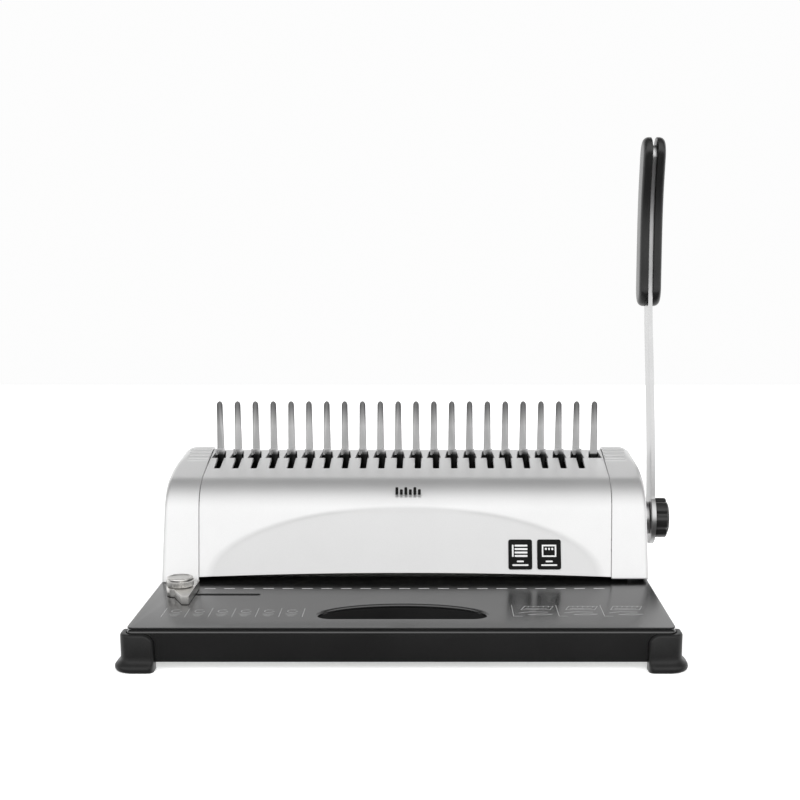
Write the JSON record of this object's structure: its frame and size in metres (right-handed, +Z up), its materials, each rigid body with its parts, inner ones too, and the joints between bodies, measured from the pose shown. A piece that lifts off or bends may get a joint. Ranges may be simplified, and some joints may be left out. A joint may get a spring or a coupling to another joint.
{
  "type": "comb binding machine",
  "caption": "Desktop comb binding machine: silver body with upright fingers and sliding hooks, black sheet table with edge guide and hand hole, and a side lever that punches and opens combs.",
  "frame": {"origin": "middle of the footprint, on the surface that the feet stand on", "axes": "+X to the operator's right along the comb row, +Y away from the operator, +Z up"},
  "size_m": [0.3994, 0.2814, 0.3606],
  "materials": {
    "silver_shell": "satin silver metallic paint on moulded plastic",
    "table_black": "fine-grained black moulding, satin on the table",
    "tray_black": "fine-grained black moulding",
    "foot_rubber": "matt black rubber",
    "bright_steel": "bright nickel-plated steel sheet",
    "zinc_steel": "zinc-plated pressed steel",
    "tool_steel": "ground tool steel with a trace of oil",
    "spring_steel": "bright drawn wire",
    "nylon": "natural nylon",
    "grip_black": "semi-gloss black moulding",
    "guide_metal": "satin nickel, knurled on the knob"
  },
  "bodies": {
    "base": {"base_housing": "table_black", "bottom_plate": "zinc_steel", "hand_grip_liner": "tray_black", "foot_front_left": "foot_rubber", "foot_front_right": "foot_rubber", "foot_rear_left": "foot_rubber", "foot_rear_right": "foot_rubber", "main_cover": "silver_shell", "rear_cover": "silver_shell", "side_cover_left": "silver_shell", "side_cover_right": "silver_shell", "side_frame_left": "zinc_steel", "side_frame_right": "zinc_steel", "shaft_bush_left": "nylon", "shaft_bush_right": "nylon", "die_plate": "tool_steel", "punch_guide": "zinc_steel", "finger_comb": "bright_steel", "pivot_washer": "grip_black", "return_spring_left": "spring_steel", "return_spring_right": "spring_steel"},
    "lever": {"main_shaft": "tool_steel", "drive_pinion_left": "tool_steel", "drive_pinion_right": "tool_steel", "hook_gear_left": "tool_steel", "hook_gear_right": "tool_steel", "lever_collar": "bright_steel", "lever": "bright_steel", "grip_inner": "grip_black", "grip_outer": "grip_black"},
    "lever_knob": {"lever_knob": "grip_black"},
    "punch": {"punch_bar": "zinc_steel", "pin_retainer": "zinc_steel", "punch_pin_01": "tool_steel", "punch_pin_02": "tool_steel", "punch_pin_03": "tool_steel", "punch_pin_04": "tool_steel", "punch_pin_05": "tool_steel", "punch_pin_06": "tool_steel", "punch_pin_07": "tool_steel", "punch_pin_08": "tool_steel", "punch_pin_09": "tool_steel", "punch_pin_10": "tool_steel", "punch_pin_11": "tool_steel", "punch_pin_12": "tool_steel", "punch_pin_13": "tool_steel", "punch_pin_14": "tool_steel", "punch_pin_15": "tool_steel", "punch_pin_16": "tool_steel", "punch_pin_17": "tool_steel", "punch_pin_18": "tool_steel", "punch_pin_19": "tool_steel", "punch_pin_20": "tool_steel", "punch_pin_21": "tool_steel"},
    "hooks": {"hook_plate": "bright_steel"},
    "edge_guide": {"guide_block": "guide_metal", "guide_bolt": "guide_metal"},
    "guide_knob": {"guide_knob": "guide_metal"},
    "tray": {"chip_tray": "tray_black"}
  },
  "joints": [
    {"name": "lever_swing", "type": "hinge", "parent": "base", "child": "lever", "pos_m": [-0.00845, 0.066, 0.0623], "axis": [1, 0, 0], "range_deg": [0, 85], "stiffness_Nm_per_rad": 0.256, "springref_deg": -71.62},
    {"name": "punch_stroke", "type": "slide", "parent": "base", "child": "punch", "axis": [0, 0, -1], "range_m": [0, 0.0119], "deforming": ["return_spring_left", "return_spring_right"]},
    {"name": "hook_slide", "type": "slide", "parent": "base", "child": "hooks", "axis": [0, -1, 0], "range_m": [0, 0.0223]},
    {"name": "lever_knob_turn", "type": "hinge", "parent": "lever", "child": "lever_knob", "pos_m": [0.19355, 0.066, 0.0623], "axis": [1, 0, 0], "continuous": true},
    {"name": "edge_guide_slide", "type": "slide", "parent": "base", "child": "edge_guide", "axis": [1, 0, 0], "range_m": [0, 0.055]},
    {"name": "guide_knob_turn", "type": "hinge", "parent": "edge_guide", "child": "guide_knob", "pos_m": [-0.16987, -0.0475, 0.04], "axis": [0, 0, 1], "continuous": true},
    {"name": "chip_tray_slide", "type": "slide", "parent": "base", "child": "tray", "axis": [-1, 0, 0], "range_m": [0, 0.36]}
  ],
  "couplings": [
    {"joint": "punch_stroke", "follows": "lever_swing", "m_per_rad": 0.008},
    {"joint": "hook_slide", "follows": "lever_swing", "m_per_rad": 0.015}
  ]
}
